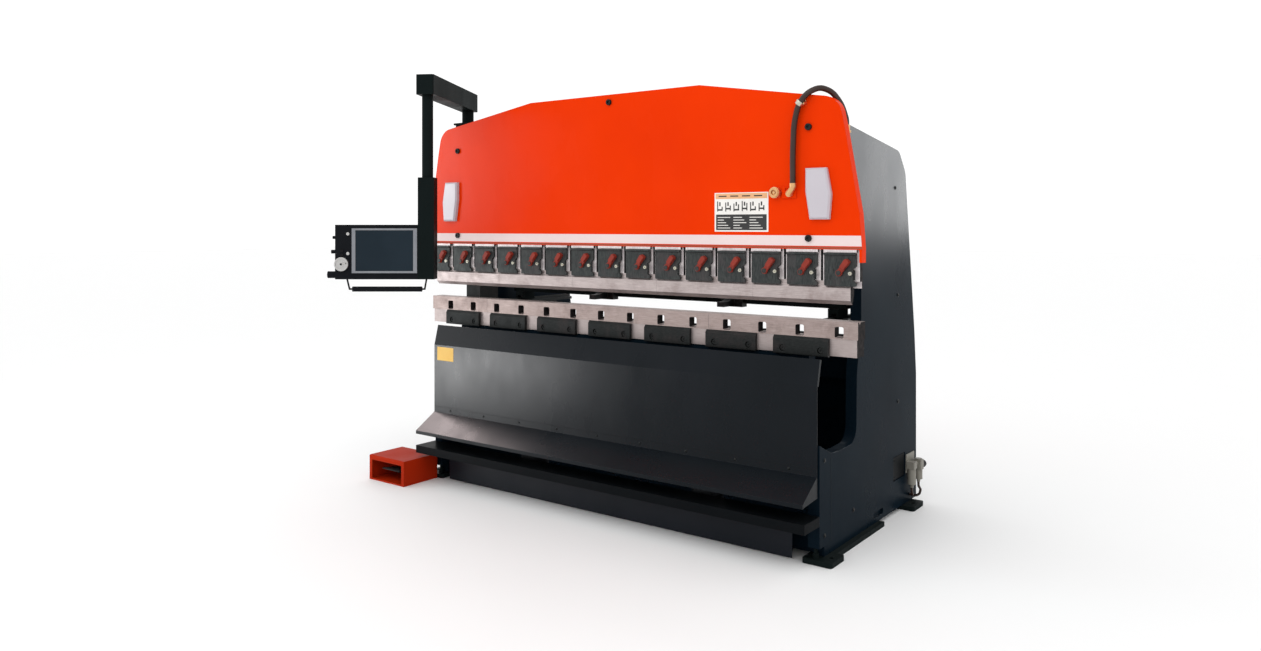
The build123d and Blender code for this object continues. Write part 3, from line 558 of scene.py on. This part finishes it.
# ---- air unit's knob and hatch --------------------------------------------------------------
unit_lo, unit_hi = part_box("air_regulator")
knob = Vector((unit_hi.x - 0.022, unit_hi.y - 0.034, unit_lo.z + 0.112))
to_rear = Matrix(((1, 0, 0, 0), (0, 0, 1, 0), (0, 1, 0, 0), (0, 0, 0, 1)))
bm = bmesh.new()
add_turned(bm, Matrix.Translation(knob) @ to_rear,
           ((0.0, 0.0222, 0.001), (0.026, 0.0222, 0.001), (0.0345, 0.0214, 0.0),
            (0.0352, 0.018, 0.0)), False)
new_object("regulator_knob_cap", bm, black_moulding, "main_frame")
hatch_face = side_hi.x - 0.003              # the hatch lies a little inside the frame's face
hatch_y0, hatch_y1 = side_lo.y + 0.954, side_lo.y + 1.131
hatch_z0, hatch_z1 = side_lo.z + 0.164, side_lo.z + 0.291
corner = 0.018
bm = bmesh.new()
add_box(bm, (side_hi.x - 0.026, hatch_y0, hatch_z0), (hatch_face, hatch_y1, hatch_z1), 0.003)
for z in (hatch_z0 + corner, hatch_z1 - corner):
    for y in (hatch_y0 + corner, hatch_y1 - corner):
        add_screw(bm, (hatch_face, y, z), (1, 0, 0), 0.004)
new_object("hatch_plate", bm, hatch_enamel, "main_frame")

# ---- zinc band of the clip around the pressure hose -----------------------------------------
clip_at = Vector((1.1985, beam_hi.y - 0.075, 2.2145))
clip_along = (0.66, 0.02, 0.75)             # the hose's direction where it is clipped
clip_half, clip_bore, clip_outer = 0.011, 0.0150, 0.0190
soft = 0.0015                               # its rounded rims
side_ring = ((clip_half, clip_bore, 0.0), (clip_half, clip_outer - 0.0008, 0.0),
             (clip_half - soft, clip_outer, 0.0))
bm = bmesh.new()
add_turned(bm, Matrix.Translation(clip_at) @ frame_of(clip_along),
           [(-height, radius, 0.0) for height, radius, _ in side_ring]
           + list(reversed(side_ring)), True)
new_object("hose_clip_band", bm, zinc_steel, "main_frame", True)

# ---- dark blocks in the clamp plates' notches, painted shade of the recesses behind ---------
bm = bmesh.new()
for name in sorted(n for n in nodes if n.startswith("clamp_lever_")):
    lever_lo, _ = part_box(name)
    hub_x, hub_z = lever_lo.x + 0.016, lever_lo.z + 0.016
    add_box(bm, (hub_x + 0.070, front - 0.0065, hub_z - 0.033),
            (hub_x + 0.081, front, hub_z + 0.015), 0.0015)
new_object("notch_shade_blocks", bm, dark_steel, "main_frame")

# ---- floor, light and camera ----------------------------------------------------------------
floor_paint, tree, shader, where = start("studio_floor")
shader.inputs["Base Color"].default_value = (0.90, 0.90, 0.90, 1)
tree.links.new(spread(tree, noise(tree, where, 2.0, 3.0), 0.55, 0.65),
               shader.inputs["Roughness"])
shader.inputs["Specular IOR Level"].default_value = 0.2
reach = 60.0                                # past anything a camera sees
bm = bmesh.new()
bm.faces.new([bm.verts.new(p) for p in
              ((-reach, -reach, 0), (reach, -reach, 0), (reach, reach, 0), (-reach, reach, 0))])
new_object("studio_ground", bm, floor_paint, None)

world = bpy.data.worlds.new("studio")
scene.world = world
world.use_nodes = True
world.node_tree.nodes["Background"].inputs["Color"].default_value = (1.0, 1.0, 1.0, 1)
world.node_tree.nodes["Background"].inputs["Strength"].default_value = 1.10


def card(name, place, target, size, power, colour=(1, 1, 1), lit=None):
    """A rectangular light that the camera doesn't see.

    With lit given, only those nodes receive it, and only as a reflection.
    """
    light = bpy.data.lights.new(name, "AREA")
    light.shape = "RECTANGLE"
    light.size, light.size_y = size
    light.energy = power
    light.color = colour
    obj = bpy.data.objects.new(name, light)
    scene.collection.objects.link(obj)
    obj.location = place
    obj.rotation_euler = (Vector(target) - Vector(place)).to_track_quat("-Z", "Y").to_euler()
    obj.visible_camera = False
    if lit:
        obj.visible_diffuse = False
        group = bpy.data.collections.new(name + "_receivers")
        for node in lit:
            group.objects.link(nodes[node])
        obj.light_linking.receiver_collection = group


side_frames = ("right_side_frame", "left_side_frame")
front_sheets = ("front_cover", "kick_plate", "step_ledge")
beam_sheets = ("upper_beam", "beam_side_covers")
card("top_card", (0.6, -4.5, 5.5), (0, 0, 0.9), (5, 3), 60)
card("left_card", (-5.6, -3.9, 1.3), (-0.2, -0.5, 1.1), (2.4, 2.8), 50)
card("right_card", (3.1, 4.4, 2.9), (1.35, 0.3, 1.9), (3.4, 2.8), 400, lit=side_frames)
card("low_card", (-3.15, -2.75, 0.30), (-0.9, -0.62, 0.50), (1.5, 0.5), 66, lit=front_sheets)
card("high_card", (-3.9, -0.4, 2.95), (-1.0, -0.7, 0.4), (1.1, 1.1), 66, (1.0, 0.84, 0.83),
     front_sheets)
card("beam_card", (-3.95, -2.65, 2.30), (-1.45, -0.5, 2.05), (0.50, 1.5), 115,
     lit=beam_sheets)

camera = bpy.data.objects.new("camera", bpy.data.cameras.new("camera"))
scene.collection.objects.link(camera)
camera.data.sensor_width = 36.0
camera.data.lens = 26.68
camera.location = (3.258, -4.712, 1.608)
camera.rotation_euler = (math.radians(90), 0, math.radians(36.48))
camera.data.shift_y = -0.0784
camera.data.clip_end = 300
scene.camera = camera
scene.view_settings.view_transform = "Standard"
scene.view_settings.look = "None"
